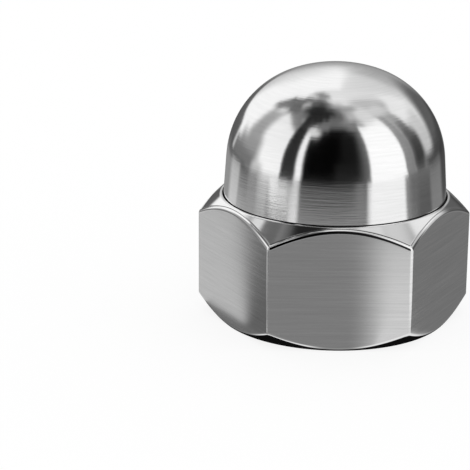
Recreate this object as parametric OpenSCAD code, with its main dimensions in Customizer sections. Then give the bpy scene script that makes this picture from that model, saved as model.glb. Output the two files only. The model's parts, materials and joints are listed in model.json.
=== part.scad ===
// Domed cap nut, turned from one piece of hexagon bar.
// Frame: the bearing face lies on z = 0, +Z runs up the thread's axis to the crown,
// the hexagon's corners lie on +X and -X, and its flats face +Y and -Y.

/* [Hexagon] */
// Distance across the flats
across_flats = 30; // [28:0.5:40]
// Height of the hexagon, from the bearing face to the ledge at the dome's foot
hex_h = 15.7; // [12:0.1:20]
// Slope of the upper chamfer below the horizontal, in degrees
top_chamfer_angle = 42; // [15:0.5:50]
// Slope of the lower chamfer above the horizontal, in degrees
bottom_chamfer_angle = 42.5; // [15:0.5:50]
// How far the bearing face's circle runs past the middle of each flat; below zero it stops short
bearing_over = -0.1; // [-1.5:0.1:0.5]

/* [Dome] */
// Height of the whole nut
total_h = 32.3; // [29:0.1:40]
// Step from the flats in to the dome's foot
dome_step = 0.9; // [0.6:0.1:2]
// Width of the flat ledge between the dome's foot and the upper chamfer
ledge_w = 0.3; // [0.1:0.05:0.5]
// Lean of the dome's straight wall towards the axis, in degrees
wall_draft = 4; // [0:0.5:6]
// Radius of the round shoulder between the wall and the crown
shoulder_r = 11.9; // [9:0.1:12.5]
// Radius of the crown
crown_r = 17.1; // [15:0.1:30]

/* [Thread] */
// Nominal diameter of the metric thread
thread_d = 20; // [12:1:22]
// Pitch of the thread
thread_pitch = 1.5; // [1:0.25:2.5]
// How far the countersink opens past the thread's nominal radius
mouth_over = 1.2; // [0.3:0.1:2]
// Full angle of the countersink, in degrees
mouth_angle = 120; // [90:5:140]
// Width of the relief groove where the thread runs out
relief_w = 2.4; // [1.5:0.1:5]
// How far the relief groove is cut past the thread's nominal radius
relief_over = 0.25; // [0.1:0.05:1]
// Length of plain hole between the relief groove and the drilled tip
plain_end = 0.4; // [0.2:0.1:2]
// Full angle of the drilled tip, in degrees
tip_angle = 118; // [110:1:140]
// Metal left between the drilled tip and the crown
roof_t = 3; // [2:0.1:6]

/* [Hidden] */
$fn = 128;
over = 1;                          // how far a cutting or limiting shape runs past the metal
minor_share = 1.0825;              // thread depth on the diameter, as a share of the pitch

corner_r = across_flats / 2 / cos(30);
foot_r = across_flats / 2 - dome_step;
ledge_r = foot_r + ledge_w;
bearing_r = across_flats / 2 + bearing_over;

minor_r = (thread_d - minor_share * thread_pitch) / 2;
mouth_r = thread_d / 2 + mouth_over;
mouth_h = (mouth_r - minor_r) / tan(mouth_angle / 2);
relief_r = thread_d / 2 + relief_over;
tip_h = minor_r / tan(tip_angle / 2);
hole_h = total_h - roof_t - tip_h;
relief_top = hole_h - plain_end;
thread_top = relief_top - relief_w;

// The shoulder's centre slides up beside the straight wall until the shoulder
// touches the inside of the crown's circle.
wall_dir = [-sin(wall_draft), cos(wall_draft)];
wall_normal = [cos(wall_draft), sin(wall_draft)];
crown_c = [0, total_h - crown_r];
slide_from = [foot_r, hex_h] - shoulder_r * wall_normal;
from_crown = slide_from - crown_c;
slide_back = from_crown * wall_dir;
wall_len = -slide_back
    + sqrt(slide_back ^ 2 - from_crown * from_crown + (crown_r - shoulder_r) ^ 2);
shoulder_c = slide_from + wall_len * wall_dir;
wall_top = shoulder_c + shoulder_r * wall_normal;
join_angle = atan2(shoulder_c[1] - crown_c[1], shoulder_c[0] - crown_c[0]);
join_dir = [cos(join_angle), sin(join_angle)];
join = crown_c + crown_r * join_dir;

// Half outline of the dome: straight wall, round shoulder and crown. The shoulder's
// circle lies wholly inside the metal, so all of its half to the right of the axis is used.
module dome_outline() {
    reach = 2 * total_h;
    intersection() {
        translate(shoulder_c) circle(shoulder_r);
        translate([0, -reach]) square([reach, 2 * reach]);
    }
    intersection() {
        translate(crown_c) circle(crown_r);
        polygon([crown_c, crown_c + reach * join_dir, [0, reach]]);
    }
    polygon([
        [0, hex_h - over], [foot_r, hex_h - over], [foot_r, hex_h], wall_top,
        shoulder_c, [0, shoulder_c[1]]
    ]);
}

// Half outline of the two chamfer cones that the hexagon is turned to.
module chamfer_outline() {
    far_r = corner_r + over;
    polygon([
        [0, 0],
        [bearing_r, 0],
        [far_r, (far_r - bearing_r) * tan(bottom_chamfer_angle)],
        [far_r, hex_h - (far_r - ledge_r) * tan(top_chamfer_angle)],
        [ledge_r, hex_h],
        [0, hex_h]
    ]);
}

// Half outline of the blind hole: countersink, tapping hole, relief groove and drilled tip.
module hole_outline() {
    polygon([
        [0, -over],
        [mouth_r + over * tan(mouth_angle / 2), -over],
        [minor_r, mouth_h],
        [minor_r, thread_top],
        [relief_r, thread_top],
        [relief_r, relief_top],
        [minor_r, relief_top],
        [minor_r, hole_h],
        [0, hole_h + tip_h]
    ]);
}

module hexagon() {
    intersection() {
        cylinder(r = corner_r, h = hex_h, $fn = 6);
        rotate_extrude() chamfer_outline();
    }
}

module cap_nut() {
    color("silver")
    difference() {
        union() {
            hexagon();
            rotate_extrude() dome_outline();
        }
        rotate_extrude() hole_outline();
    }
}

cap_nut();
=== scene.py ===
"""Looks of a high-domed cap nut: polished crown, brushed flats, turned faces and a real thread.

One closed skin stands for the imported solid: a single grid from the crown's pole down the dome, over
the hexagon, across the bearing face and up the threaded hole to its tip. Lengths in the dataclasses
are in millimetres and angles in degrees; the meshes are in metres.
"""

import json
import logging
import math
from dataclasses import dataclass
from enum import Enum

import bpy
import numpy as np
from mathutils import Matrix, Vector

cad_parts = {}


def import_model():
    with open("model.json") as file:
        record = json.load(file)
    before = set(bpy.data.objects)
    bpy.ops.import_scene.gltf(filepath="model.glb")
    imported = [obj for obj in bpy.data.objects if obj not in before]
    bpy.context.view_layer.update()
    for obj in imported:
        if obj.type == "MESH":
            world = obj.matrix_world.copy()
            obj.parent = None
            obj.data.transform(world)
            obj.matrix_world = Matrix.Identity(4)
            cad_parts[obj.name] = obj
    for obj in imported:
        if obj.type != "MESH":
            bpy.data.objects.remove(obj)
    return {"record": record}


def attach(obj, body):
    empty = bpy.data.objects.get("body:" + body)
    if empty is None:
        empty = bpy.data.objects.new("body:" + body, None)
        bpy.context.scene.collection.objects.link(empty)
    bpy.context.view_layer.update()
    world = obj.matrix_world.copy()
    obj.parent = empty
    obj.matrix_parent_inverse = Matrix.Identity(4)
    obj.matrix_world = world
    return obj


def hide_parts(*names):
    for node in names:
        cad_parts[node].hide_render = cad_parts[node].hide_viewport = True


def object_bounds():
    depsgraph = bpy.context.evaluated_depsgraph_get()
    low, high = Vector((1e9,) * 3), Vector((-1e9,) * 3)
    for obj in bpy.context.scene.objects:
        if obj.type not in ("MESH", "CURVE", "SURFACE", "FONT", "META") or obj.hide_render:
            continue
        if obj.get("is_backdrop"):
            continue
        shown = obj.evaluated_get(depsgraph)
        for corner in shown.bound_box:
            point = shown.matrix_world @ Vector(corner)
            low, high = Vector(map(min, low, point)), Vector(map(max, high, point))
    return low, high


MM = 0.001
WELD = 1e-5  # points this close are one
SHARP_ANGLE = 26.0  # an edge this sharp isn't smoothed over
WHITE = (1, 1, 1, 1)
CONTRAST = 1.8  # of the finishing lines
FINE_SHARE = 0.4  # of the fine lines beside the broad ones
QUARTER_TURN = 0.25
log = logging.getLogger("cap_nut")


class Finish(Enum):
    """The finishes of the nut's zones, and a painted shade at the dome's foot; the value is the
    material's slot on the mesh.
    """

    POLISHED = 0
    BRUSHED = 1
    CHAMFER = 2
    EDGE = 3
    FACED = 4
    THREAD = 5
    # painted shade: a near-black strip that stands for the shadow in the crease at the dome's foot
    PAINTED_SHADE = 6


# ---- geometry helpers


def eased(count: int) -> np.ndarray:
    """Rising numbers from 0 to 1, half of one minus the cosine of even steps, crowded at both ends."""
    return (1 - np.cos(np.linspace(0, math.pi, count))) / 2


def turned(start: np.ndarray, end: np.ndarray, share: np.ndarray) -> np.ndarray:
    """Directions along the great circle from one direction to another.

    Formula: both unit vectors, weighted by the sines of the angles left and done, over the sine of
    the whole angle.

    Args:
        start: unit vectors, one per column.
        end: unit vectors, one per column.
        share: shares of the way, one per row.

    Returns:
        Unit vectors, rows by columns by three.
    """
    whole = np.arccos(np.clip((start * end).sum(-1), -1, 1))[None, :, None]
    part = share[:, None, None]
    return (np.sin((1 - part) * whole) * start + np.sin(part * whole) * end) / np.sin(whole)


@dataclass
class Strip:
    """A stretch of the skin: rows of points, each with one point per column."""

    points: np.ndarray
    finish: Finish
    turns_shift: int = 0
    across: np.ndarray | None = None

    def lay(self) -> np.ndarray:
        """Distance of each point across the finishing lines.

        Returns:
            The distances given, or else the lengths walked down each column.
        """
        if self.across is not None:
            return self.across
        steps = np.linalg.norm(np.diff(self.points, axis=0), axis=-1)
        return np.vstack([np.zeros(steps.shape[1]), np.cumsum(steps, axis=0)])


@dataclass(frozen=True)
class Columns:
    """The skin's columns: where each stands on the hexagon and which way its side faces."""

    across_flats: float
    per_flat: int = 32
    per_corner: int = 6
    flats: int = 6

    def turn(self) -> float:
        """Angle from one flat to the next, in radians."""
        return 2 * math.pi / self.flats

    def facing(self) -> np.ndarray:
        """Azimuth that each column's side faces, constant on a flat and turning round a corner.

        Returns:
            One angle per column, in radians.
        """
        turn = self.turn()
        corner = np.linspace(0, 1, self.per_corner + 2)[1:-1]
        one = np.concatenate([np.zeros(self.per_flat), corner * turn])
        return np.concatenate([one + turn * (i + 0.5) for i in range(self.flats)])

    def inset(self, depth: float) -> np.ndarray:
        """Points of the hexagon that lies a given depth inside the flats.

        Formula: a flat's columns go from one corner to the other in eased steps; a corner's
        columns all stand on the corner.

        Args:
            depth: distance from the flats inwards.

        Returns:
            One x, y pair per column.
        """
        turn = self.turn()
        apothem = self.across_flats / 2 - depth
        half = apothem * math.tan(turn / 2)
        aside = np.concatenate([(2 * eased(self.per_flat) - 1) * half, np.full(self.per_corner, half)])
        out = np.full_like(aside, apothem)
        angle = turn * (np.arange(self.flats) + 0.5)[:, None]
        x = out * np.cos(angle) - aside * np.sin(angle)
        y = out * np.sin(angle) + aside * np.cos(angle)
        return np.stack([x.ravel(), y.ravel()], -1)

    def around(self) -> np.ndarray:
        """Azimuth at which each column stands on the hexagon, seen from the axis."""
        x, y = self.inset(0).T
        return np.unwrap(np.arctan2(y, x))

    def ring(self, profile: np.ndarray) -> np.ndarray:
        """A half outline, rows of radius and height, turned about the axis: rows by columns by three."""
        angle, r, z = self.around(), profile[:, :1], profile[:, 1:]
        return np.stack([r * np.cos(angle), r * np.sin(angle), z + 0 * angle], -1)


def arc(centre: np.ndarray, radius: float, start: float, end: float, count: int) -> np.ndarray:
    """Points of an arc, as radius and height: the centre plus the radius along even angles."""
    angle = np.radians(np.linspace(start, end, count))
    return np.stack([centre[0] + radius * np.cos(angle), centre[1] + radius * np.sin(angle)], -1)


# ---- the nut's shapes


@dataclass
class Dome:
    """Polished dome: straight leaning wall, round shoulder, flatter crown and a fillet at the foot.

    The draft is the wall's lean; shoulder, crown and fillet are radii. The painted shade height is
    how far up the wall a near-black strip paints the shade in the crease at the foot, and the curves
    run into each other within the blend, in steps that are finer than the rows.
    """

    total_height: float
    foot_height: float
    foot_radius: float
    draft: float = 4.0
    shoulder: float = 11.9
    crown: float = 17.1
    fillet: float = 0.06
    # how far up the wall the painted shade in the foot's crease reaches
    painted_shade_height: float = 0.09
    blend: float = 1.5
    rows: int = 110
    finer: int = 10
    fillet_rows: int = 6
    plain_points: tuple[int, int, int] = (200, 400, 100)

    def wall(self) -> tuple[np.ndarray, np.ndarray, np.ndarray]:
        """The straight wall in the half plane of radius and height.

        Returns:
            Its foot, its outward normal and the direction up it.
        """
        lean = math.radians(self.draft)
        out, up = math.cos(lean), math.sin(lean)
        return np.array([self.foot_radius, self.foot_height]), np.array([out, up]), np.array([-up, out])

    def sharp(self) -> np.ndarray:
        """Half outline from the crown's pole down to where the painted shade starts, with plain circles
        and lines.

        Formula: the shoulder's centre slides up beside the wall until its distance from the
        crown's centre is the difference of the two radii.

        Returns:
            Rows of radius and height.
        """
        foot, normal, up = self.wall()
        crown_centre = np.array([0.0, self.total_height - self.crown])
        gap = foot - self.shoulder * normal - crown_centre
        back = gap @ up
        slide = -back + math.sqrt(back**2 - gap @ gap + (self.crown - self.shoulder) ** 2)
        centre = foot - self.shoulder * normal + slide * up
        joint = math.degrees(math.atan2(*(centre - crown_centre)[::-1]))
        wall_top = centre + self.shoulder * normal
        crown_points, shoulder_points, wall_points = self.plain_points
        top = arc(crown_centre, self.crown, 90, joint, crown_points)
        bend = arc(centre, self.shoulder, joint, self.draft, shoulder_points)
        return np.vstack([top, bend[1:], np.linspace(wall_top, foot + self.painted_shade_height * up, wall_points)[1:]])

    def outline(self) -> np.ndarray:
        """Half outline from the crown's pole down to where the painted shade starts, with its curves
        blended.

        Formula: the plain outline is cut into even steps, each step's heading is averaged over the
        blend on both sides, and the steps are laid end to end again from the painted shade's top up.
        What is then missing at the pole is shared out along the way.

        Returns:
            Rows of radius and height.
        """
        plain = self.sharp()
        along = np.concatenate([[0], np.cumsum(np.linalg.norm(np.diff(plain, axis=0), axis=1))])
        even = np.linspace(0, along[-1], self.finer * (self.rows - 1) + 1)
        path = np.stack([np.interp(even, along, plain[:, k]) for k in (0, 1)], -1)
        heading = np.arctan2(*np.diff(path, axis=0).T[::-1])
        half = int(self.blend / even[1])
        window = np.hanning(2 * half + 3)[1:-1]
        padded = np.pad(heading, half, mode="reflect", reflect_type="odd")
        soft = np.convolve(padded, window / window.sum(), "valid")
        steps = np.stack([np.cos(soft), np.sin(soft)], -1) * even[1]
        back = np.vstack([np.zeros(2), np.cumsum(steps[::-1], axis=0)])[::-1]
        laid = path[-1] - back
        laid = laid + (path[0] - laid[0]) * (1 - even / even[-1])[:, None]
        return laid[:: self.finer]

    def foot(self) -> np.ndarray:
        """Half outline of the painted shade at the dome's foot: the wall's lowest stretch and a fillet
        down to the ledge.

        Formula: the fillet's circle touches the wall's line and the ledge's plane.

        Returns:
            Rows of radius and height.
        """
        foot, normal, up = self.wall()
        lean = math.radians(self.draft)
        lift = self.fillet * (1 - math.sin(lean)) / math.cos(lean)
        centre = foot + lift * up + self.fillet * normal
        turn = arc(centre, self.fillet, 180 + self.draft, 270, self.fillet_rows)
        return np.vstack([foot + self.painted_shade_height * up, turn])


@dataclass
class End:
    """One end of the hexagon: its turned chamfer and the roundings beside it.

    The level and the ring's radius place the chamfer's inner edge; edge and rim are roundings
    outside and inside it. The rest trims the arcs: a small crest, its start and backward roll, a
    facet's width, a lift, and a lip of steps along and square to the cone.
    """

    up: int
    level: float
    ring: float
    slope: float
    edge: float
    rim: float = 0.06
    crest: float = 0.0
    crest_from: float = 0.0
    roll: float = 0.0
    facet: float = 0.0
    lift: float = 0.0
    lip: tuple[tuple[float, float], ...] = ()
    rim_rows: int = 5
    cone_rows: int = 9
    crest_rows: int = 7
    edge_rows: int = 10

    def frames(self, place: np.ndarray) -> tuple[np.ndarray, np.ndarray]:
        """Outward normals of the chamfer's cone and directions up it, at x, y places.

        Formula: the normal leans outwards by the slope; the other direction is the normal turned
        by a quarter towards the axis.

        Args:
            place: one x, y pair per column.

        Returns:
            Unit normals and unit directions, one of each per column.
        """
        lean = math.radians(self.slope)
        out = place / np.linalg.norm(place, axis=-1, keepdims=True)
        one = np.ones((len(place), 1)) * self.up
        normal = np.hstack([out * math.sin(lean), one * math.cos(lean)])
        along = np.hstack([-out * math.cos(lean), one * math.sin(lean)])
        return normal, along

    def rim_outline(self) -> np.ndarray:
        """Half outline of the rounding between the chamfer and the flat ring.

        Formula: the arc touches the ring's plane and the cone, which meet at the ring's radius.

        Returns:
            Rows of radius and height.
        """
        inward = self.rim * math.tan(math.radians(self.slope) / 2)
        centre = np.array([self.ring - inward, self.level - self.up * self.rim])
        return arc(centre, self.rim, self.up * 90, self.up * (90 - self.slope), self.rim_rows)

    def rows(self, columns: Columns, side: np.ndarray) -> tuple[np.ndarray, np.ndarray, np.ndarray]:
        """Rows of points from the flat ring over the chamfer and its arcs to the flats.

        Formula: a ball on the inset hexagon touches the cone and rolls from its normal to the
        side's. With a crest it stands a little high and starts part of the way on; a smaller ball
        inside it rolls back past the cone's normal, and a facet and small steps lead to the cone.

        Args:
            columns: the skin's columns.
            side: unit normals of the flats and corners, one per column.

        Returns:
            Rows of the rim, of the cone and of the rolled edge.
        """
        place = columns.inset(self.edge)
        lean = math.radians(self.slope)
        far = np.linalg.norm(place, axis=-1)
        drop = (far - self.ring) * math.tan(lean) + self.edge / math.cos(lean)
        centre = np.hstack([place, (self.level - self.up * drop)[:, None]])
        normal, along = self.frames(place)
        touch = centre + self.edge * normal
        high = centre + np.array([0, 0, self.up * self.lift])
        ball = turned(normal, side, np.linspace(self.crest_from, 1, self.edge_rows))
        rolled = high + self.edge * ball
        if self.crest:
            back = math.radians(self.roll)
            first = math.cos(back) * normal + math.sin(back) * along
            inner = high + (self.edge - self.crest) * ball[0]
            small = inner + self.crest * turned(first, ball[0], np.linspace(0, 1, self.crest_rows))[:-1]
            level = small[0] + self.facet * (math.cos(back) * along - math.sin(back) * normal)
            lips = [touch + s * along + h * normal for s, h in self.lip]
            rolled = np.concatenate([*[lip[None] for lip in lips], level[None], small, rolled])
        rim = columns.ring(self.rim_outline())
        cone = rim[-1] + (rolled[0] - rim[-1]) * eased(self.cone_rows)[:, None, None]
        return rim, cone, rolled


@dataclass
class Hexagon:
    """Hexagon with turned chamfers at both ends, rolled arcs and rounded corners."""

    columns: Columns
    top: End
    bottom: End
    flat_rows: int = 14

    def strips(self) -> list[Strip]:
        """The hexagon's skin.

        Formula: the flats run straight from one rolled edge to the other in eased steps.

        Returns:
            Its strips from the upper ledge down to the bearing face's rim.
        """
        angle = self.columns.facing()
        side = np.stack([np.cos(angle), np.sin(angle), 0 * angle], -1)
        top_rim, top_cone, top_edge = self.top.rows(self.columns, side)
        low_rim, low_cone, low_edge = self.bottom.rows(self.columns, side)
        flat = top_edge[-1] + (low_edge[-1] - top_edge[-1]) * eased(self.flat_rows)[:, None, None]
        return [
            Strip(top_rim, Finish.CHAMFER),
            Strip(top_cone, Finish.CHAMFER),
            Strip(top_edge, Finish.EDGE),
            Strip(flat, Finish.BRUSHED, across=-flat[..., 2]),
            Strip(low_edge[::-1], Finish.EDGE),
            Strip(low_cone[::-1], Finish.CHAMFER),
            Strip(low_rim[::-1], Finish.FACED),
        ]


@dataclass
class Thread:
    """Right-hand internal thread between the countersink and the relief groove.

    The crest and the root are shares of the pitch, and so is the flank between them.
    """

    columns: Columns
    minor_radius: float
    pitch: float
    mouth_radius: float
    mouth_angle: float
    top: float
    crest: float = 0.25
    root: float = 0.125
    flank_rows: int = 4
    spare_turns: int = 4

    def depth(self) -> float:
        """Depth of the thread's groove past the minor radius: 5/8 of the sharp thread's height."""
        return 5 / 8 * math.sqrt(3) / 2 * self.pitch

    def flank(self) -> float:
        """Length of one flank along the axis, as a share of the pitch."""
        return 0.5 - self.root / 2 - self.crest / 2

    def radius(self, phase: np.ndarray) -> np.ndarray:
        """Wall's radius at a share of a pitch from mid-crest: crest, straight flank, root, and back."""
        away = np.abs((phase + 0.5) % 1 - 0.5)
        return self.minor_radius + self.depth() * np.clip((away - self.crest / 2) / self.flank(), 0, 1)

    def strip(self) -> Strip:
        """The threaded wall.

        Formula: each row's height is its own first height plus the pitch times the share of a
        turn, cut off level at the mouth and at the groove. The radius is the larger of the
        thread's and the countersink cone's.

        Returns:
            The strip; its rows are shifted by one turn where the columns close.
        """
        steps = self.steps()
        shape = np.cumsum(np.tile(steps, int(self.top / self.pitch) + self.spare_turns))
        heights = (np.concatenate([[0], shape]) - 1) * self.pitch
        angle = self.columns.around()
        share = (angle - angle[0]) / (2 * math.pi)
        z = heights[:, None] + self.pitch * share
        phase = np.broadcast_to(heights[:, None] / self.pitch, z.shape)
        z = np.clip(z, 0, self.top)
        true_phase = z / self.pitch - share
        cone = self.mouth_radius - z * math.tan(math.radians(self.mouth_angle / 2))
        r = np.maximum(self.radius(np.where((z > 0) & (z < self.top), phase, true_phase)), cone)
        points = np.stack([r * np.cos(angle), r * np.sin(angle), z], -1)
        return Strip(points, Finish.THREAD, turns_shift=len(steps))

    def steps(self) -> np.ndarray:
        """Steps of phase between the rows of one turn.

        Returns:
            The steps from one crest's middle to the next, with a row on every corner.
        """
        crest, flank = (self.crest / 2, 1), (self.flank(), self.flank_rows)
        parts = [crest, flank, (self.root, 2), flank, crest]
        return np.concatenate([np.full(count, length / count) for length, count in parts])


@dataclass
class BlindEnd:
    """Relief groove, plain end and drilled tip behind the thread."""

    minor_radius: float
    groove_radius: float
    groove_from: float
    groove_to: float
    plain_to: float
    tip_angle: float = 118.0
    groove_rows: int = 6
    plain_rows: int = 3
    tip_rows: int = 16

    def outline(self) -> np.ndarray:
        """Half outline from the groove's near side to the tip.

        Formula: the tip's depth is the wall's radius over the tangent of half the tip's angle.

        Returns:
            Rows of radius and height.
        """
        groove, wall = self.groove_radius, self.minor_radius
        tip = self.plain_to + wall / math.tan(math.radians(self.tip_angle / 2))
        return np.vstack(
            [
                np.linspace((groove, self.groove_from), (groove, self.groove_to), self.groove_rows),
                np.linspace((wall, self.groove_to), (wall, self.plain_to), self.plain_rows),
                np.linspace((wall, self.plain_to), (0.0, tip), self.tip_rows)[1:],
            ]
        )


# ---- skin and mesh


def corners(grid: np.ndarray, part: slice, shift: int) -> np.ndarray:
    """A grid's values at the corners of the quads between columns and the ones after them.

    Args:
        grid: rows by columns.
        part: the columns at which the quads start.
        shift: rows by which the next column is shifted.

    Returns:
        Four values for each quad.
    """
    here, there = grid[: len(grid) - shift, part], np.roll(grid, -1, axis=1)[shift:, part]
    return np.stack([here[:-1], here[1:], there[1:], there[:-1]], -1).reshape(-1, 4)


def weld(strips: list[Strip]) -> tuple[np.ndarray, np.ndarray, np.ndarray, np.ndarray]:
    """Joins the strips into one closed skin.

    Formula: points in one place become one, and a face that is left with fewer than three goes.

    Args:
        strips: stretches of the skin in order, each ending where the next one starts.

    Returns:
        Points, faces as four point numbers (a triangle repeats one), each face's finish, and each
        corner's distance across the finishing lines.
    """
    points, faces, finishes, lays = [], [], [], []
    count = 0
    for strip in strips:
        rows, columns = strip.points.shape[:2]
        number = count + np.arange(rows * columns).reshape(rows, columns)
        count += rows * columns
        points.append(strip.points.reshape(-1, 3))
        for part, shift in ((slice(None, -1), 0), (slice(-1, None), strip.turns_shift)):
            faces.append(corners(number, part, shift))
            lays.append(corners(strip.lay(), part, shift))
            finishes.append(np.full(len(faces[-1]), strip.finish.value))
    points = np.concatenate(points)
    faces, finishes, lays = (np.concatenate(part) for part in (faces, finishes, lays))
    keys = np.round(points / WELD).astype(np.int64)
    _, first, group = np.unique(keys, axis=0, return_index=True, return_inverse=True)
    faces = group.ravel()[faces]
    different = 1 + (np.diff(np.sort(faces, axis=1), axis=1) > 0).sum(axis=1)
    keep = different >= 3
    return points[first], faces[keep], finishes[keep], lays[keep]


def add_object(name: str, data: bpy.types.ID) -> bpy.types.Object:
    """Puts a mesh or a camera into the scene.

    Args:
        name: the object's name.
        data: the mesh or the camera's data.

    Returns:
        The new object, at the origin.
    """
    item = bpy.data.objects.new(name, data)
    bpy.context.scene.collection.objects.link(item)
    return item


def make_mesh(name: str, strips: list[Strip]) -> bpy.types.Object:
    """Puts a closed skin into a Blender mesh, in metres.

    Args:
        name: the piece's name.
        strips: the skin's stretches.

    Returns:
        The new object, at the origin.
    """
    points, faces, finishes, lays = weld(strips)
    used = np.unique(faces)
    renumber = np.zeros(len(points), np.int64)
    renumber[used] = np.arange(len(used))
    points, faces = points[used], renumber[faces]
    # A corner that repeats the one before it is dropped, which leaves a triangle.
    real = faces != np.roll(faces, 1, axis=1)
    sizes = real.sum(axis=1)
    mesh = bpy.data.meshes.new(name)
    mesh.vertices.add(len(points))
    mesh.vertices.foreach_set("co", (points * MM).astype(np.float32).ravel())
    mesh.loops.add(int(sizes.sum()))
    mesh.loops.foreach_set("vertex_index", faces[real].astype(np.int32))
    mesh.polygons.add(len(faces))
    starts = np.concatenate([[0], np.cumsum(sizes)[:-1]])
    mesh.polygons.foreach_set("loop_start", starts.astype(np.int32))
    mesh.polygons.foreach_set("material_index", finishes.astype(np.int32))
    mesh.update(calc_edges=True)
    across = mesh.attributes.new("across", "FLOAT", "CORNER")
    across.data.foreach_set("value", (lays[real] * MM).astype(np.float32))
    mesh.polygons.foreach_set("use_smooth", np.ones(len(faces), bool))
    mesh.set_sharp_from_angle(angle=math.radians(SHARP_ANGLE))
    mesh.validate(verbose=True)
    return add_object(name, mesh)


@dataclass
class CapNut:
    """The whole nut as one closed skin.

    The painted shade share is how much of the ledge beside the dome's foot is painted near-black as shade
    in the crease.
    """

    total_height: float
    across_flats: float
    minor_radius: float
    hexagon_height: float = 15.7
    foot_radius: float = 14.1
    pitch: float = 1.5
    mouth_radius: float = 11.2
    mouth_angle: float = 120.0
    thread_top: float = 20.98
    groove_radius: float = 10.25
    groove_top: float = 23.38
    plain_top: float = 23.78
    painted_shade_share: float = 0.5
    face_rows: int = 8
    name: str = "cap_nut_skin"

    def strips(self) -> list[Strip]:
        """The whole skin.

        Returns:
            Its strips from the crown's pole to the drilled tip.
        """
        columns, wall = Columns(self.across_flats), self.minor_radius
        crown = Dome(self.total_height, self.hexagon_height, self.foot_radius)
        dome, foot = columns.ring(crown.outline()), columns.ring(crown.foot())
        top = End(
            up=1, level=self.hexagon_height, ring=14.52, slope=43.0, edge=0.6, rim=0.3, crest=0.12,
            crest_from=0.19, roll=11.0, facet=0.2, lift=0.01, lip=((0.30, 0.0), (0.225, 0.012)),
        )
        bottom = End(up=-1, level=0.0, ring=14.75, slope=40.8, edge=0.5)
        sides = Hexagon(columns, top, bottom).strips()
        bore = Thread(columns, wall, self.pitch, self.mouth_radius, self.mouth_angle, self.thread_top)
        end = BlindEnd(wall, self.groove_radius, self.thread_top, self.groove_top, self.plain_top)
        thread, blind = bore.strip(), columns.ring(end.outline())
        mouth = columns.ring(np.array([[self.mouth_radius, 0.0]]))[0]
        rim, ledge = sides[-1].points[-1], sides[0].points[0]
        painted_shade_to = foot[-1] + self.painted_shade_share * (ledge - foot[-1])
        return [
            Strip(dome, Finish.POLISHED),
            # painted shade: a near-black strip up the wall's foot, round the fillet and over part of the
            # ledge
            Strip(np.concatenate([foot, painted_shade_to[None]]), Finish.PAINTED_SHADE),
            Strip(np.stack([painted_shade_to, ledge]), Finish.CHAMFER),
            *sides,
            Strip(rim + (mouth - rim) * eased(self.face_rows)[:, None, None], Finish.FACED),
            thread,
            Strip(np.stack([thread.points[-1], blind[0]]), Finish.THREAD),
            Strip(blind, Finish.THREAD),
        ]

    def build(self) -> bpy.types.Object:
        """Builds the skin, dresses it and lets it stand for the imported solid.

        Returns:
            The skin's object.
        """
        nut = make_mesh(self.name, self.strips())
        for metal in METALS:
            nut.data.materials.append(metal.material())
        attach(nut, "root")
        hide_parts("cap_nut")
        return nut


# ---- materials


class Nodes:
    """A node tree that is being filled."""

    def __init__(self, tree: bpy.types.NodeTree) -> None:
        """Takes the tree and empties it."""
        self.tree = tree
        tree.nodes.clear()

    def add(self, kind: str, inputs: dict | None = None, **settings: object) -> bpy.types.Node:
        """Adds a node.

        Args:
            kind: the node's type name without its ShaderNode prefix.
            inputs: values or outputs for its inputs, by name or number.
            settings: the node's own settings.

        Returns:
            The node.
        """
        node = self.tree.nodes.new(kind if kind.startswith("Node") else "ShaderNode" + kind)
        for key, value in settings.items():
            setattr(node, key, value)
        for key, value in (inputs or {}).items():
            if isinstance(value, bpy.types.NodeSocket):
                self.tree.links.new(value, node.inputs[key])
            else:
                node.inputs[key].default_value = value
        return node

    def maths(self, operation: str, *values: object, clamp: bool = False) -> bpy.types.NodeSocket:
        """Result of a new Math node on numbers or outputs, which may be held between 0 and 1."""
        node = self.add("Math", dict(enumerate(values)), operation=operation, use_clamp=clamp)
        return node.outputs[0]

    def clear_behind(self, shader: bpy.types.Node) -> bpy.types.Node:
        """Adds the mix of a shader that shows from the front and nothing from behind."""
        behind, clear = self.add("NewGeometry").outputs["Backfacing"], self.add("BsdfTransparent")
        return self.add("MixShader", {0: behind, 1: shader.outputs[0], 2: clear.outputs[0]})

    def finish(self, kind: str, shader: bpy.types.Node) -> None:
        """Links a shader to a new output node of a kind."""
        self.tree.links.new(shader.outputs[0], self.add(kind).inputs["Surface"])


def new_material(name: str) -> tuple[bpy.types.Material, Nodes]:
    """Makes an empty material.

    Args:
        name: the material's name.

    Returns:
        The material and its nodes.
    """
    material = bpy.data.materials.new(name)
    material.use_nodes = True
    return material, Nodes(material.node_tree)


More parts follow.
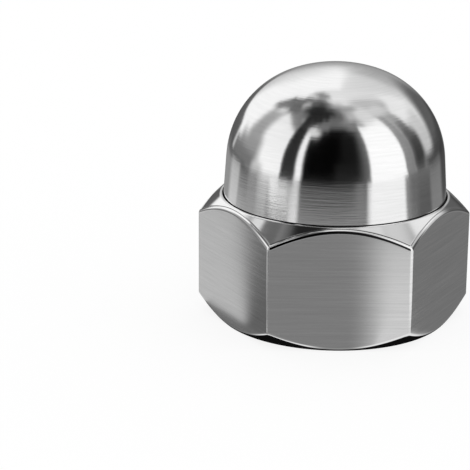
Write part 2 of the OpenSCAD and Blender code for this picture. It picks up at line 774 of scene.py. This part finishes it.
def lay_lines() -> bpy.types.NodeTree:
    """Group for the fine lines that turning and brushing leave along the lay.

    Formula: noise whose place is the object coordinate over the lines' length, and the distance
    across the lay over the lines' pitch; it is then spread about its middle by the contrast.

    Returns:
        The group, with the output Lines from 0 to 1.
    """
    if "lay_lines" in bpy.data.node_groups:
        return bpy.data.node_groups["lay_lines"]
    tree = bpy.data.node_groups.new("lay_lines", "ShaderNodeTree")
    nodes = Nodes(tree)
    for name, kind in (("Place", "Vector"), ("Across", "Float"), ("Pitch", "Float"), ("Length", "Float")):
        tree.interface.new_socket(name=name, in_out="INPUT", socket_type="NodeSocket" + kind)
    tree.interface.new_socket(name="Lines", in_out="OUTPUT", socket_type="NodeSocketFloat")
    given = nodes.add("NodeGroupInput").outputs
    apart, length = nodes.add("SeparateXYZ", {0: given["Place"]}), given["Length"]
    place = nodes.add(
        "CombineXYZ",
        {
            "X": nodes.maths("DIVIDE", apart.outputs["X"], length),
            "Y": nodes.maths("DIVIDE", apart.outputs["Y"], length),
            "Z": nodes.maths("DIVIDE", given["Across"], given["Pitch"]),
        },
    )
    look = {"Scale": 1.0, "Detail": 3.0, "Roughness": 0.6}
    noise = nodes.add("TexNoise", {"Vector": place.outputs[0], **look}).outputs["Fac"]
    spread = nodes.maths("MULTIPLY_ADD", noise, CONTRAST, (1 - CONTRAST) / 2, clamp=True)
    nodes.add("NodeGroupOutput", {"Lines": spread})
    return tree


@dataclass(frozen=True)
class Lay:
    """Lines along the lay: their pitch and length in millimetres."""

    pitch: float
    length: float


@dataclass(frozen=True)
class Metal:
    """A bright metal finish with lines along its lay.

    The stretch draws reflections out across the lay, the depth is that of the fine lines in
    millimetres, and the shade (a share) and the rough change are swings of grey and roughness.
    """

    name: str
    grey: float
    roughness: float
    stretch: float
    fine: Lay
    broad: Lay
    depth: float
    shade: float
    rough_change: float
    metallic: float = 1.0
    specular: float = 0.5

    def lines(self, nodes: Nodes, lay: Lay) -> bpy.types.NodeSocket:
        """Adds the group of lines with a lay's own values.

        Args:
            nodes: the material's nodes.
            lay: the lines' pitch and length.

        Returns:
            The lines' output.
        """
        place = nodes.add("TexCoord").outputs["Object"]
        across = nodes.add("Attribute", attribute_name="across").outputs["Fac"]
        inputs = {"Place": place, "Across": across, "Pitch": lay.pitch * MM, "Length": lay.length * MM}
        return nodes.add("Group", inputs, node_tree=lay_lines()).outputs["Lines"]

    def material(self) -> bpy.types.Material:
        """Makes the material.

        Formula: the grey and the roughness swing about their middle with the mixed lines, and the
        fine lines are the height of a bump.

        Returns:
            The material.
        """
        material, nodes = new_material(self.name)
        fine, broad = self.lines(nodes, self.fine), self.lines(nodes, self.broad)
        broad = nodes.maths("MULTIPLY", broad, 1 - FINE_SHARE)
        both = nodes.maths("MULTIPLY_ADD", fine, FINE_SHARE, broad)
        swing = nodes.maths("SUBTRACT", both, 0.5)
        grey = nodes.maths("MULTIPLY_ADD", swing, self.shade * self.grey * 2, self.grey, clamp=True)
        colour = nodes.add("CombineColor", {"Red": grey, "Green": grey, "Blue": grey})
        rough = nodes.maths("MULTIPLY_ADD", swing, self.rough_change * 2, self.roughness, clamp=True)
        bump = nodes.add("Bump", {"Strength": 1.0, "Distance": self.depth * MM, "Height": fine})
        tangent = nodes.add("Tangent", direction_type="RADIAL", axis="Z")
        shader = nodes.add(
            "BsdfPrincipled",
            {
                "Base Color": colour.outputs[0],
                "Metallic": self.metallic,
                "Specular IOR Level": self.specular,
                "Roughness": rough,
                "Anisotropic": self.stretch,
                "Anisotropic Rotation": QUARTER_TURN,
                "Normal": bump.outputs[0],
                "Tangent": tangent.outputs[0],
            },
        )
        nodes.finish("OutputMaterial", shader)
        return material


# One metal for each finish, in the order of their slots.
METALS = (
    Metal("polished_dome", 0.97, 0.10, 0.85, Lay(0.18, 5.0), Lay(0.36, 6.0), 0.003, 0.07, 0.02),
    Metal("brushed_flat", 0.8, 0.18, 0.8, Lay(0.16, 9.0), Lay(0.27, 10.0), 0.0015, 0.13, 0.03),
    Metal("turned_chamfer", 0.97, 0.08, 0.6, Lay(0.15, 8.0), Lay(0.3, 6.0), 0.0003, 0.02, 0.02),
    Metal("rolled_edge", 0.98, 0.08, 0.0, Lay(0.15, 8.0), Lay(0.4, 5.0), 0.0001, 0.01, 0.02),
    Metal("faced_ring", 0.72, 0.28, 0.7, Lay(0.12, 10.0), Lay(0.3, 9.0), 0.0015, 0.06, 0.03),
    Metal("cut_thread", 0.6, 0.3, 0.3, Lay(0.1, 6.0), Lay(0.3, 5.0), 0.0012, 0.08, 0.04),
    # Not a finish of the metal: near-black and matt, a painted shade in the crease at the dome's foot.
    Metal("painted_shade_seam", 0.01, 0.6, 0.0, Lay(0.1, 6.0), Lay(0.3, 5.0), 0.0005, 0.3, 0.0, 0.0, 0.0),
)


# ---- stage


def glow(seen: np.ndarray) -> np.ndarray:
    """Brightness of tones as they look from 0 to 1: the display curve's power of 2.4 undone."""
    return (np.maximum(seen, 0) + 0.055) ** 2.4 / 1.055**2.4 - 0.0008


def flatward(azimuth: np.ndarray) -> np.ndarray:
    """Share of a distance from the axis that runs square to the nearest of the six flats."""
    return np.cos(np.radians((azimuth + 30) % 60 - 30))


def half_degrees(start: float, end: float) -> np.ndarray:
    """Angles every half degree, both ends included."""
    return np.linspace(start, end, round(2 * (end - start)) + 1)


def ripple(way: np.ndarray, waves: tuple[tuple[float, float, float], ...]) -> np.ndarray:
    """Sum of sines along a way, each given by its height, its rate and its start."""
    return sum(height * np.sin(rate * way + start) for height, rate, start in waves)


def rise(way: np.ndarray) -> np.ndarray:
    """Smooth rise from 0 to 1 while the way goes from -0.5 to 0.5."""
    t = np.clip(way + 0.5, 0, 1)
    return t * t * (3 - 2 * t)


RIPPLES_ALONG = ((1.0, 9, 1.0), (0.7, 23, 2.2))
RIPPLES_ACROSS = ((2.2, 31, 0.6), (1.32, 77, 1.9))


@dataclass(frozen=True)
class Patch:
    """A soft-edged patch of a painted surface.

    The first span is an azimuth in degrees from the front towards +X, the second an elevation in
    degrees or a distance in millimetres. The tone runs from the second span's low end to its high
    end. The soft edges' widths are those across and along, the tilt raises the patch for each unit
    across it, and the waver makes its edges uneven.
    """

    across: tuple[float, float]
    along: tuple[float, float]
    tone: tuple[float, float]
    soft: tuple[float, float]
    tilt: float = 0.0
    waver: float = 0.0
    oval: bool = False

    def place(self, azimuth: np.ndarray, far: np.ndarray) -> tuple[np.ndarray, np.ndarray]:
        """The surface's places as offsets across and along from the patch's middle."""
        aside = (azimuth - sum(self.across) / 2 + 180) % 360 - 180
        return aside, far - sum(self.along) / 2 - self.tilt * aside

    def paint(self, tone: np.ndarray, azimuth: np.ndarray, far: np.ndarray) -> np.ndarray:
        """Lays the patch over the tones painted so far.

        Formula: the new tone is mixed in by smooth rises inside the four edges, multiplied, or for
        an oval by one inside its outline. Ripples of the other coordinate shift wavering edges.

        Args:
            tone: tones painted so far.
            azimuth: azimuth of each place.
            far: elevation or distance of each place.

        Returns:
            The new tones.
        """
        u, v = self.place(azimuth, far)
        if self.waver:
            up, aside = ripple(np.radians(u), RIPPLES_ALONG), ripple(np.radians(v), RIPPLES_ACROSS)
            u, v = u + self.waver * aside, v + self.waver * up
        wide, high = (self.across[1] - self.across[0]) / 2, (self.along[1] - self.along[0]) / 2
        if self.oval:
            share = rise((1 - np.hypot(u / wide, v / high)) * min(wide, high) / self.soft[0])
        else:
            share = rise((wide - abs(u)) / self.soft[0]) * rise((high - abs(v)) / self.soft[1])
        way = np.clip(v / (2 * high) + 0.5, 0, 1)
        return tone + share * (self.tone[0] + (self.tone[1] - self.tone[0]) * way - tone)


@dataclass(frozen=True)
class Apron(Patch):
    """A soft-edged oblong on the mat, laid out in millimetres along the azimuth of its run."""

    run: float = 0.0

    def place(self, azimuth: np.ndarray, far: np.ndarray) -> tuple[np.ndarray, np.ndarray]:
        """The mat's places as offsets from the oblong's middle, aside from its run and along it."""
        turn = np.radians(azimuth - self.run)
        return far * np.sin(turn) - sum(self.across) / 2, far * np.cos(turn) - sum(self.along) / 2


@dataclass(frozen=True)
class Band(Patch):
    """A soft-edged stretch of a band on the mat that follows the nut's flats."""

    def place(self, azimuth: np.ndarray, far: np.ndarray) -> tuple[np.ndarray, np.ndarray]:
        """The mat's places as an azimuth and a distance square to the nearest flat."""
        return super().place(azimuth, far * flatward(azimuth))


def painted(base: float, patches: tuple[Patch, ...], azimuth: np.ndarray, far: np.ndarray) -> np.ndarray:
    """Brightness of a surface painted with patches.

    Args:
        base: tone of the bare surface.
        patches: patches, each laid over the ones before it.
        azimuth: azimuth of each place.
        far: elevation or distance of each place.

    Returns:
        The brightness at each place.
    """
    tone = np.full(azimuth.shape, base)
    for patch in patches:
        tone = patch.paint(tone, azimuth, far)
    return glow(tone)


# The tent's patches by azimuth and elevation, each over the ones before it.
TENT = (
    Patch((102, 172), (-20, 100), (0.84, 0.9), (8, 6)),
    Patch((138, 168), (-20, 84), (0.7, 0.9), (14, 8)),
    Patch((104, 133), (30, 58), (0.92, 0.9), (8, 8)),
    Patch((40, 134), (55, 82), (0.84, 0.84), (16, 8)),
    Patch((86, 120), (51, 78), (0.7, 0.74), (14, 8)),
    Patch((-10, 84), (75, 100), (0.58, 0.76), (24, 8)),
    Patch((-206, -138), (66, 88), (0.86, 0.92), (12, 8)),
    Patch((-162, -134), (67, 80), (0.48, 0.56), (12, 7), waver=0.8),
    Patch((-146, -130), (64, 72), (0.84, 0.8), (5, 4), oval=True),
    Patch((-36, 36), (58, 100), (0.41, 0.52), (14, 8)),
    Patch((6, 40), (60, 84), (0.52, 0.6), (22, 8)),
    Patch((26, 46), (65, 76), (0.72, 0.7), (12, 7)),
    Patch((-30, 16), (67, 81), (0.36, 0.38), (14, 8)),
    Patch((-129, -6), (73, 100), (0.07, 0.98), (24, 6)),
    Patch((-180, 181), (87, 100), (0.76, 0.76), (0.01, 8)),
    Patch((-129, -86), (52, 79), (0.42, 0.32), (7, 5), waver=0.7),
    Patch((-112, -96), (64, 71.5), (0.68, 0.68), (6, 3), waver=0.5),
    Patch((-90, -58), (56.5, 72), (0.52, 0.19), (7, 6)),
    Patch((-88, -22), (65.5, 80), (0.12, 0.15), (9, 5), waver=1.2),
    Patch((-66, -31), (60, 73), (0.15, 0.13), (8, 4), waver=0.6),
    Patch((-99, -62.8), (-20, 49), (0.99, 0.92), (6, 8), tilt=-0.4),
    Patch((-96, -60), (48.5, 61), (0.56, 0.44), (8, 7), tilt=-0.35),
    Patch((-118, -98), (16, 50), (0.6, 0.66), (12, 8)),
    Patch((-119, -93), (-20, 20), (0.46, 0.62), (14, 10)),
    Patch((-127, -106), (44, 60), (0.43, 0.38), (6, 7), tilt=0.45),
    Patch((-114, -103.5), (43, 51), (0.78, 0.93), (5, 4), tilt=0.6),
    Patch((-103, -87), (53, 60.5), (0.36, 0.42), (4, 4), tilt=0.5),
    Patch((-180, -158), (-12, 40), (0.66, 0.95), (14, 12)),
    Patch((-130, -106), (-20, 11), (0.42, 0.6), (12, 10)),
    Patch((-187, -141), (-20, 6.5), (0.29, 0.38), (8, 4)),
    Patch((-138, -98), (-20, 3), (0.4, 0.46), (8, 6)),
    Patch((-98, -84), (-20, 0), (0.62, 0.8), (10, 6)),
    Patch((-61, -44), (-20, 70), (0.21, 0.12), (4, 4)),
    Patch((-45, -38), (-20, 47), (0.96, 0.94), (5, 7)),
    Patch((-56, -46.4), (-20, 4), (0.22, 0.2), (3, 8)),
    Patch((-62, -37.5), (51.5, 71), (0.18, 0.13), (5, 6)),
    Patch((-37, 33.5), (-11, 58), (0.02, 0.02), (5, 11)),
    Patch((2, 31), (-14, 50), (0.07, 0.09), (14, 10)),
    Patch((-4, 26), (-14, 16), (0.13, 0.1), (12, 10)),
    Patch((24, 40), (-20, 57), (0.36, 0.4), (14, 6)),
    Patch((14, 44), (52, 62), (0.46, 0.48), (18, 7)),
    Patch((-45, -24), (43, 56), (0.87, 0.87), (7, 4), oval=True),
    Patch((-34, -14), (52, 62), (0.46, 0.44), (9, 7)),
    Patch((33.2, 75.2), (-20, 51), (1, 1), (3.5, 8), tilt=-0.34),
    Patch((75.2, 86), (-20, 60), (0.5, 0.58), (2, 8)),
    Patch((86, 101), (-20, 58), (0.46, 0.66), (6, 10)),
    Patch((78, 105), (52, 66), (0.8, 0.82), (9, 5), tilt=-0.3),
    Patch((88, 99), (24, 40), (0.36, 0.5), (7, 8)),
    Patch((88, 106.5), (-5, 26), (0.2, 0.3), (12, 18)),
    Patch((163, 188), (-20, 24), (0.33, 0.81), (12, 20)),
    Patch((148, 172), (8, 34), (0.6, 0.72), (14, 12)),
    Patch((106, 124), (2, 30), (0.74, 0.8), (10, 12)),
    Patch((122, 164), (-36, 23), (0.36, 0.36), (12, 9), oval=True),
    Patch((104, 162), (-24, 0), (0.27, 0.27), (12, 8)),
)

# The mat's patches by azimuth and distance, each over the ones before it.
MAT = (
    Patch((-98, -60), (15, 120), (0.66, 0.7), (16, 14)),
    Patch((-94, -62), (100, 400), (0.76, 0.92), (16, 20)),
    Patch((-62, -38), (15, 144), (0.84, 0.88), (6, 14)),
    Patch((-84, -52), (68, 144), (0.84, 0.9), (12, 14)),
    Patch((-60, -46), (141, 220), (0.34, 0.22), (4, 14)),
    Patch((27, 70), (15, 200), (0.94, 0.94), (4, 14)),
    Patch((76, 108), (15, 200), (0.38, 0.42), (8, 14)),
    Patch((108, 166), (15, 200), (0.53, 0.34), (8, 14)),
    Patch((164, 196), (15, 200), (0.74, 0.68), (10, 14)),
    Patch((-176, -152), (15, 200), (0.46, 0.32), (10, 14)),
    Patch((-152, -108), (15, 200), (0.48, 0.34), (10, 14)),
    Patch((-162, -128), (40, 112), (0.58, 0.56), (12, 20)),
    Patch((-98, -82), (80, 220), (0.62, 0.74), (10, 20)),
    Patch((86, 106), (50, 108), (0.32, 0.36), (8, 14)),
    Patch((106, 130), (50, 112), (0.52, 0.46), (8, 14)),
    Patch((132, 154), (15, 230), (0.34, 0.18), (10, 14)),
    Patch((-36, 26), (60, 132), (0.6, 0.52), (4, 10)),
    Patch((-37, 28), (122, 200), (0.34, 0.03), (4, 12)),
    Patch((16, 28), (60, 200), (0.54, 0.42), (10, 14)),
    Patch((-134, -112), (58, 140), (0.82, 0.6), (10, 14)),
    Patch((-113, -97), (58, 136), (0.8, 0.22), (8, 14)),
    Patch((-99, -84), (64, 136), (0.64, 0.46), (8, 12)),
    Patch((-85, -66), (78, 132), (0.52, 0.78), (8, 10)),
    Patch((-72, -48), (84, 104), (0.14, 0.34), (6, 5)),
    Patch((-70, -50), (105.5, 146), (0.98, 0.99), (6, 5)),
    Patch((-62, -30), (17, 66), (0.34, 0.34), (4, 8)),
    Apron((2.4, 4.8), (16, 62), (0.95, 0.95), (1, 4), run=-42),
    Apron((10.6, 13.8), (13, 60), (0.92, 0.92), (1.2, 4), run=-75),
    Apron((15, 21), (-20, 66), (0.4, 0.4), (1.2, 4), run=-120),
    Apron((-6, 14.8), (9, 66), (0.78, 0.78), (1.4, 3), run=-120),
    Patch((84, 160), (10, 64), (0.48, 0.48), (6, 6)),
    Patch((-37, 26), (10, 64), (0.54, 0.54), (3, 6)),
    Patch((15, 82), (18, 66), (0.99, 0.99), (3, 4)),
    Apron((-19, -7), (4, 66), (0.48, 0.48), (2, 4), run=127),
    Apron((2.7, 17), (14, 66), (0.88, 0.88), (6, 6), run=4.5),
    Band((-92, -40), (14, 17.3), (0.45, 0.45), (4, 0.6)),
    Band((-44, -10), (14, 16), (0.92, 0.92), (10, 0.8)),
    Band((10, 44), (14, 16), (0.92, 0.92), (10, 0.8)),
)


@dataclass(frozen=True)
class Camera:
    """The camera: it looks at a target, leans down and is rolled about its line."""

    target: tuple[float, float, float] = (-12.604, 0.0, 9.969)
    distance: float = 236.67
    elevation: float = 18.076
    roll: float = 0.315
    lens: float = 141.9
    sensor: float = 36.0
    near: float = 10.0

    def build(self) -> bpy.types.Object:
        """Sets up the camera.

        Formula: it stands back from its target along a line that rises by the elevation, and its
        own axes are turned about that line by the roll.

        Returns:
            The camera's object.
        """
        lean, roll = math.radians(self.elevation), math.radians(self.roll)
        line_back = np.array([0.0, -math.cos(lean), math.sin(lean)])
        back, level = Vector(line_back), Vector((1, 0, 0))
        above = back.cross(level)
        right = level * math.cos(roll) + above * math.sin(roll)
        up = above * math.cos(roll) - level * math.sin(roll)
        turn = Matrix((right, up, back)).transposed().to_4x4()
        data = bpy.data.cameras.new("camera")
        data.lens, data.sensor_width, data.clip_start = self.lens, self.sensor, self.near * MM
        camera = add_object("camera", data)
        place = Vector(np.array(self.target) + line_back * self.distance)
        camera.matrix_world = Matrix.Translation(place * MM) @ turn
        bpy.context.scene.camera = camera
        return camera


@dataclass
class Tent:
    """Light tent round the nut and the mat under it, which only its bright metal sees.

    The tones are those of the bare tent and mat; the shadow is the brightness beneath the nut.
    """

    radius: float = 1500.0
    height: float = 18.0
    tent_tone: float = 0.97
    mat_tone: float = 0.5
    shadow: float = 0.004
    nut_flats: float = 15.0
    mat_level: float = 0.03
    mat_near: tuple[float, ...] = (11.2, 14.8, 14.95, 15.15, 15.7, 16.3, 17.0)
    mat_middle: float = 220.0
    mat_rings: int = 110
    widening: float = 1.4
    mat_far: tuple[float, ...] = (300.0, 500.0, 900.0, 1700.0)
    mat_edge: float = 190.0
    mat_blend: float = 40.0

    def lay(self, name: str, points: np.ndarray, tones: np.ndarray) -> bpy.types.Object:
        """Puts a painted surface into the scene.

        Args:
            name: the surface's name.
            points: rows by columns by three, in millimetres.
            tones: brightness of each point.

        Returns:
            The surface's object, hidden from the camera and from matt surfaces.
        """
        rows, columns = tones.shape
        number = np.arange(rows * columns).reshape(rows, columns)
        around = [number[:-1, :-1], number[:-1, 1:], number[1:, 1:], number[1:, :-1]]
        mesh = bpy.data.meshes.new(name)
        mesh.from_pydata((points * MM).reshape(-1, 3), [], np.stack(around, -1).reshape(-1, 4).tolist())
        tone = mesh.attributes.new("tone", "FLOAT", "POINT")
        tone.data.foreach_set("value", tones.astype(np.float32).ravel())
        piece = add_object(name, mesh)
        piece.visible_camera = piece.visible_diffuse = piece.visible_shadow = False
        material, nodes = new_material(name)
        tone = nodes.add("Attribute", attribute_name="tone").outputs["Fac"]
        nodes.finish("OutputMaterial", nodes.add("Emission", {"Color": WHITE, "Strength": tone}))
        mesh.materials.append(material)
        piece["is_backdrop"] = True
        return piece

    def walls(self) -> bpy.types.Object:
        """Builds the tent.

        Formula: a ball about a point of the axis, each point at its azimuth and elevation, from
        just below the horizon to the zenith.

        Returns:
            The tent's object.
        """
        az, el = np.meshgrid(half_degrees(-180, 180), half_degrees(-3, 90))
        a, e = np.radians(az), np.radians(el)
        way = np.stack([np.cos(e) * np.sin(a), -np.cos(e) * np.cos(a), np.sin(e)], -1)
        points = way * self.radius + np.array([0, 0, self.height])
        return self.lay("tent", points, painted(self.tent_tone, TENT, az, el))

    def mat(self) -> bpy.types.Object:
        """Builds the mat.

        Formula: hexagons round the nut, their spacing widening as a power past the near ones, so
        that the shadow and the bands beside it follow the flats. Past its edge the mat takes on
        the tones of the tent's foot.

        Returns:
            The mat's object.
        """
        last = self.mat_near[-1]
        spread = np.linspace(0, 1, self.mat_rings)[1:] ** self.widening
        wide = last + (self.mat_middle - last) * spread
        levels = np.concatenate([self.mat_near, wide, self.mat_far])
        az, level = np.meshgrid(half_degrees(-180, 180), levels)
        far, a = level / flatward(az), np.radians(az)
        points = np.stack([far * np.sin(a), -far * np.cos(a), np.full_like(a, self.mat_level)], -1)
        tones = painted(self.mat_tone, MAT, az, far)
        foot = painted(self.tent_tone, TENT, az, -np.degrees(np.arctan(self.height / far)))
        tones = tones + rise((far - self.mat_edge) / self.mat_blend) * (foot - tones)
        return self.lay("mat", points, np.where(level < self.nut_flats, self.shadow, tones))


@dataclass
class Studio:
    """Plain pale floor and white surroundings, with the tent, the mat and the camera.

    The floor reaches out by its size; its white share is what shows without the nut's shade.
    """

    floor_size: float = 4000.0
    floor_level: float = -0.05
    white_share: float = 0.85

    def world(self) -> None:
        """Makes the surroundings plain white."""
        world = bpy.data.worlds.new("plain_white")
        world.use_nodes = True
        nodes = Nodes(world.node_tree)
        nodes.finish("OutputWorld", nodes.add("Background", {"Color": WHITE, "Strength": 1.0}))
        bpy.context.scene.world = world

    def floor(self) -> bpy.types.Object:
        """Builds the floor just below the nut, white and with a faint shadow.

        Returns:
            The floor's object.
        """
        size, level = self.floor_size * MM, self.floor_level * MM
        square = [(-size, -size, level), (size, -size, level), (size, size, level), (-size, size, level)]
        mesh = bpy.data.meshes.new("floor")
        mesh.from_pydata(square, [], [(0, 1, 2, 3)])
        floor = add_object("floor", mesh)
        material, nodes = new_material("floor")
        path = nodes.add("LightPath")
        seen = nodes.maths("MAXIMUM", path.outputs["Is Camera Ray"], path.outputs["Is Glossy Ray"])
        seen = nodes.maths("MAXIMUM", seen, path.outputs["Is Transmission Ray"])
        matt = nodes.add("BsdfDiffuse", {"Color": WHITE})
        pale = nodes.add("Emission", {"Color": WHITE, "Strength": 1.0})
        share = nodes.maths("MULTIPLY", seen, self.white_share)
        mix = nodes.add("MixShader", {0: share, 1: matt.outputs[0], 2: pale.outputs[0]})
        nodes.finish("OutputMaterial", nodes.clear_behind(mix))
        mesh.materials.append(material)
        floor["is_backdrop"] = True
        return floor

    def build(self) -> list[bpy.types.Object]:
        """Sets up everything round the nut.

        Returns:
            The stage's objects.
        """
        bpy.context.scene.view_settings.view_transform = "Standard"
        self.world()
        Camera().build()
        tent = Tent()
        return [self.floor(), tent.walls(), tent.mat()]


def main() -> None:
    """Builds the nut, its stage and its camera."""
    logging.basicConfig(level=logging.INFO, format="%(message)s")
    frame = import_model()
    low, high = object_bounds()
    hole = next(m for m in frame["record"]["mounts"] if m["kind"] == "threaded_hole")
    nut = CapNut(
        total_height=(high[2] - low[2]) / MM,
        across_flats=(high[1] - low[1]) / MM,
        minor_radius=hole["dims"]["r_mm"],
    ).build()
    log.info("%s: %d faces", nut.name, len(nut.data.polygons))
    for item in Studio().build():
        log.info("stage: %s", item.name)
    low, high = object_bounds()


if __name__ == "__main__":
    main()
